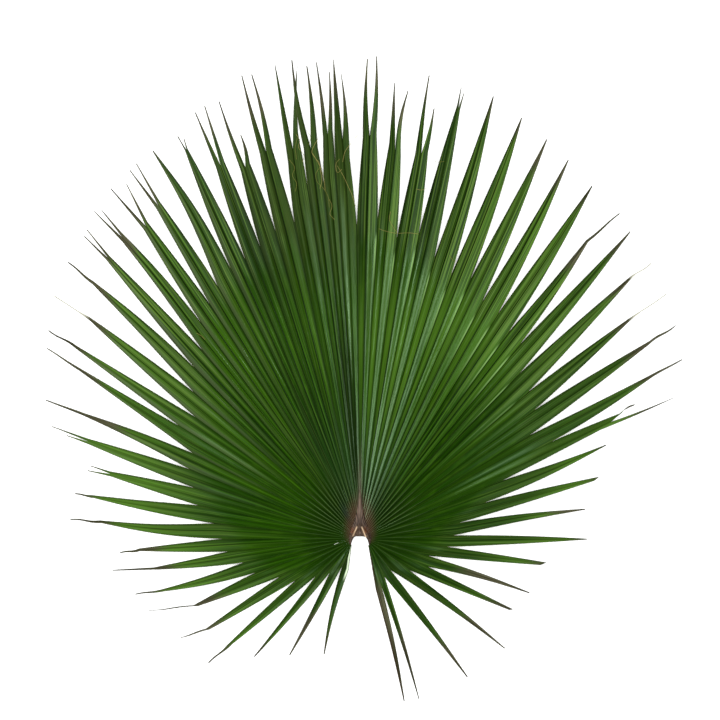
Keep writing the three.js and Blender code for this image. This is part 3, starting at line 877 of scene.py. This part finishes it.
def costa_point(u, y):
    """The upper and the lower corner for a place across the costa, -1 to 1, and their numbers."""
    rise = max(0, (ARCH_END - y) / (ARCH_END - COSTA_START))
    lift = max(0, (y - COSTA_FLAT_END) / (COSTA_TIP - COSTA_FLAT_END))
    sink = COSTA_SINK * max(0, (y - COSTA_SINK_START) / (COSTA_TIP - COSTA_SINK_START))
    arch = y + rise * (NOTCH_TOP - COSTA_START) * (1 - abs(u) ** NOTCH_ROUNDING)
    x = u * half_width(y)
    flank = max(0, (abs(u) - COSTA_FLAT) / (1 - COSTA_FLAT))
    low = lerp(lift * COSTA_SIDE_HEIGHT, COSTA_SIDE_HEIGHT, flank ** COSTA_FLANK)
    lip = (arch - HASTULA_Y + HASTULA_SWEEP * u * u) / HASTULA_THICKNESS
    turn = math.atan2(x, arch - FOLD_CENTRE)
    fold = math.cos(2 * math.pi * turn / FOLD_TURN)
    high = HUB_HEIGHT + COSTA_CREST * (1 - u * u) + HASTULA_HEIGHT * math.exp(-lip * lip)
    high += lerp(FOLD_RELIEF * fold, -COSTA_DIP, u ** COSTA_DIP_POWER) - sink
    tan = min(away((x, arch), *line) for line in TAN_LINES) / TAN_WIDTH
    rust = min(math.dist((x, arch), spot) for spot in RUST_SPOTS) / RUST_WIDTH
    numbers = dict(turn=turn, reach=math.hypot(x, arch), middle=abs(x), fold=fold)
    numbers.update(tan=math.exp(-tan * tan), rust=math.exp(-rust * rust))
    return (x, arch, high), (x, arch, low), numbers


def build_costa():
    """The brown end of the stalk: flat underneath, crested above, cut in an arch."""
    top, bottom, values = [], [], {}
    for j in range(COSTA_ROWS + 1):
        y = lerp(COSTA_START, COSTA_TIP, j / COSTA_ROWS)
        for k in range(COSTA_COLUMNS + 1):
            upper, lower, numbers = costa_point(2 * k / COSTA_COLUMNS - 1, y)
            numbers["rim"] = max(0, 1 - j / RIM_ROWS)
            top.append(upper)
            bottom.append(lower)
            for name, value in numbers.items():
                values.setdefault(name, []).append(value)
    count = len(top)
    wide = COSTA_COLUMNS + 1
    faces = []
    for j in range(COSTA_ROWS):
        for k in range(COSTA_COLUMNS):
            a = j * wide + k
            quad = (a, a + 1, a + wide + 1, a + wide)
            faces += [quad, tuple(count + c for c in reversed(quad))]
    last = COSTA_ROWS * wide
    rim = [(k, k + 1) for k in range(COSTA_COLUMNS)]
    rim += [(last + k + 1, last + k) for k in range(COSTA_COLUMNS)]
    for j in range(COSTA_ROWS):
        rim += [((j + 1) * wide - 1, (j + 2) * wide - 1), ((j + 1) * wide, j * wide)]
    faces += [(b, a, count + a, count + b) for a, b in rim]
    mesh = bpy.data.meshes.new("palm_costa")
    mesh.from_pydata([tuple(c * MM for c in corner) for corner in top + bottom], [], faces)
    store(mesh, {key: numbers * 2 for key, numbers in values.items()}, "POINT")
    mesh.validate()
    return mesh


# Loose threads, each a line of places on the leaf in millimetres. The pale one, counted from 0, is
# the short one left of the notch.
THREADS = [
    [(-26, 556), (-24, 566), (-21, 574), (-14, 583), (-7, 592), (0, 600)],
    [(-34, 550), (-25, 535), (-17, 518), (-11, 504), (-7, 490)],
    [(-71, 569), (-64, 557), (-58, 545), (-54, 530), (-52, 513)],
    [(-60, 548), (-66, 538), (-64, 526), (-56, 518), (-48, 505), (-46, 488)],
    [(-46, 500), (-42, 490), (-45, 478), (-38, 470)],
    [(-31, 560), (-36, 552), (-34, 540), (-27, 545)],
    [(28, 456), (40, 452), (56, 449), (72, 450), (87, 448)],
    [(56, 449), (50, 458), (44, 470), (46, 482)],
    [(134, 416), (140, 408), (146, 404)],
    [(-245, 300), (-238, 296), (-232, 290)],
    [(-38.5, -17.5), (-36, -16), (-32.5, -14.8)],
    [(-96, 598), (-90, 588), (-92, 578), (-84, 566), (-86, 556)],
    [(-106, 560), (-98, 548), (-101, 536), (-95, 524), (-97, 512)],
    [(-80, 604), (-74, 594), (-77, 582)],
    [(108, 560), (116, 556), (126, 557)],
    [(84, 516), (92, 514), (101, 517)],
    [(-62, 593), (-69, 580), (-72, 571), (-67, 562), (-61, 554), (-59, 542), (-57, 528), (-60, 516)],
    [(-94, 592), (-97, 578), (-96, 568), (-95, 560)],
]
PALE_THREAD = 10
THREAD_RADIUS = 0.3
THREAD_LIFT = 0.8
THREAD_SIDES = 5
THREAD_STEPS = 6
RAY_START = 1


def smooth_line(points, steps):
    """Points on a Catmull-Rom curve through the given ones, with some steps between each two."""
    ends = [2 * points[0] - points[1]] + list(points) + [2 * points[-1] - points[-2]]
    line = []
    for a, b, c, d in zip(ends, ends[1:], ends[2:], ends[3:]):
        for k in range(steps):
            t = k / steps
            line.append(b + 0.5 * t * (c - a + t * (2 * a - 5 * b + 4 * c - d + t * (3 * (b - c) + d - a))))
    return line + [points[-1]]


def thread_path(places, tree):
    """The line of one thread, just above the blade and straight on across its gaps."""
    line = smooth_line([np.array(place, float) for place in places], THREAD_STEPS)
    heights = []
    for spot in line:
        hit = tree.ray_cast(Vector((spot[0] * MM, spot[1] * MM, RAY_START)), Vector((0, 0, -1)))[0]
        heights.append(hit.z / MM + THREAD_LIFT if hit else None)
    known = [k for k, height in enumerate(heights) if height is not None]
    heights = np.interp(range(len(line)), known, [heights[k] for k in known])
    return [Vector((spot[0], spot[1], height)) for spot, height in zip(line, heights)]


def add_tube(path, corners, faces):
    """A thin tube along a line, closed at both ends."""
    first = len(corners)
    for k, centre in enumerate(path):
        ahead = (path[min(k + 1, len(path) - 1)] - path[max(k - 1, 0)]).normalized()
        side = ahead.cross(Vector((0, 0, 1))).normalized()
        up = side.cross(ahead)
        for n in range(THREAD_SIDES):
            turn = 2 * math.pi * n / THREAD_SIDES
            corners.append((centre + (side * math.cos(turn) + up * math.sin(turn)) * THREAD_RADIUS) * MM)
    for k in range(len(path) - 1):
        for n in range(THREAD_SIDES):
            a, b = first + k * THREAD_SIDES + n, first + k * THREAD_SIDES + (n + 1) % THREAD_SIDES
            faces.append((a, a + THREAD_SIDES, b + THREAD_SIDES, b))
    end = first + (len(path) - 1) * THREAD_SIDES
    faces.append(tuple(first + n for n in range(THREAD_SIDES)))
    faces.append(tuple(end + n for n in reversed(range(THREAD_SIDES))))


def build_threads(blade):
    """All the threads as one mesh; they lie on the blade and hang across its gaps."""
    tree = BVHTree.FromObject(blade, bpy.context.evaluated_depsgraph_get())
    corners, faces, strands = [], [], []
    for number, places in enumerate(THREADS):
        add_tube(thread_path(places, tree), corners, faces)
        strands += [number] * (len(corners) - len(strands))
    mesh = bpy.data.meshes.new("palm_threads")
    mesh.from_pydata([tuple(c) for c in corners], [], faces)
    pale = [float(number == PALE_THREAD) for number in strands]
    store(mesh, {"strand": strands, "pale": pale}, "POINT")
    mesh.validate()
    return mesh


FLOOR_SIZE = 6
FLOOR_DROP = 0.0004
FLOOR_GLOW = 0.35


def make_floor():
    """A white floor that glows a little, so that the leaf throws hardly any shadow on it."""
    s = FLOOR_SIZE
    mesh = bpy.data.meshes.new("floor")
    mesh.from_pydata([(-s, -s, 0), (s, -s, 0), (s, s, 0), (-s, s, 0)], [], [(0, 1, 2, 3)])
    floor = bpy.data.objects.new("floor", mesh)
    bpy.context.scene.collection.objects.link(floor)
    floor.location.z = -FLOOR_DROP
    shader = Shader("pale_floor")
    shader.surface.inputs["Emission Color"].default_value = (1, 1, 1, 1)
    shader.surface.inputs["Emission Strength"].default_value = FLOOR_GLOW
    mesh.materials.append(shader.finish(FLOOR_WHITE, roughness=0.9, specular=0.0))


FRAME_WIDTH = 1.08
FRAME_CENTRE_Y = 0.2595
CAMERA_HEIGHT = 4.0
LEAF_MIDDLE = 0.015
SENSOR = 36
CLIP_END = 50


def make_camera():
    """Straight above the leaf, framed as in the photo."""
    data = bpy.data.cameras.new("camera")
    data.sensor_width = SENSOR
    data.lens = SENSOR * (CAMERA_HEIGHT - LEAF_MIDDLE) / FRAME_WIDTH
    data.clip_end = CLIP_END
    camera = bpy.data.objects.new("camera", data)
    camera.location = (0, FRAME_CENTRE_Y, CAMERA_HEIGHT)
    bpy.context.scene.collection.objects.link(camera)
    bpy.context.scene.camera = camera


def area_light(name, azimuth, zenith, distance, spread, radiance):
    """A round soft light aimed at the leaf. Its azimuth is clockwise from +Y, its zenith is the
    angle from straight up, and its spread is half the angle that it fills, seen from the leaf."""
    light = bpy.data.lights.new(name, "AREA")
    light.shape = "DISK"
    radius = distance * math.tan(math.radians(spread))
    light.size = 2 * radius
    light.energy = radiance * math.pi * math.pi * radius * radius
    lamp = bpy.data.objects.new(name, light)
    a, z = math.radians(azimuth), math.radians(zenith)
    back = Vector((math.sin(a) * math.sin(z), math.cos(a) * math.sin(z), math.cos(z)))
    lamp.location = Vector((0, FRAME_CENTRE_Y, 0)) + back * distance
    lamp.rotation_euler = (-back).to_track_quat("-Z", "Y").to_euler()
    bpy.context.scene.collection.objects.link(lamp)


WORLD_LIGHT = 0.05


def make_world():
    """A weak even light from all round, and colours shown as they are."""
    world = bpy.data.worlds.new("studio")
    world.use_nodes = True
    background = world.node_tree.nodes["Background"]
    background.inputs["Color"].default_value = (1, 1, 1, 1)
    background.inputs["Strength"].default_value = WORLD_LIGHT
    bpy.context.scene.world = world
    bpy.context.scene.view_settings.view_transform = "Standard"


make_camera()
make_floor()
make_world()
area_light("overhead", azimuth=0, zenith=0, distance=3.5, spread=9, radiance=45)
area_light("side", azimuth=-83, zenith=59, distance=14, spread=12, radiance=12.5)

blade = place_piece(Blade().slab.mesh("palm_blade"), "palm_blade", blade_material(), LEAF_EDGE_ANGLE)
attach(blade, "root")
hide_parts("blade")

threads = place_piece(build_threads(blade), "palm_threads", thread_material(), THREAD_EDGE_ANGLE)
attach(threads, "root")

costa = place_piece(build_costa(), "palm_costa", costa_material(), LEAF_EDGE_ANGLE)
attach(costa, "root")
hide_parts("costa")
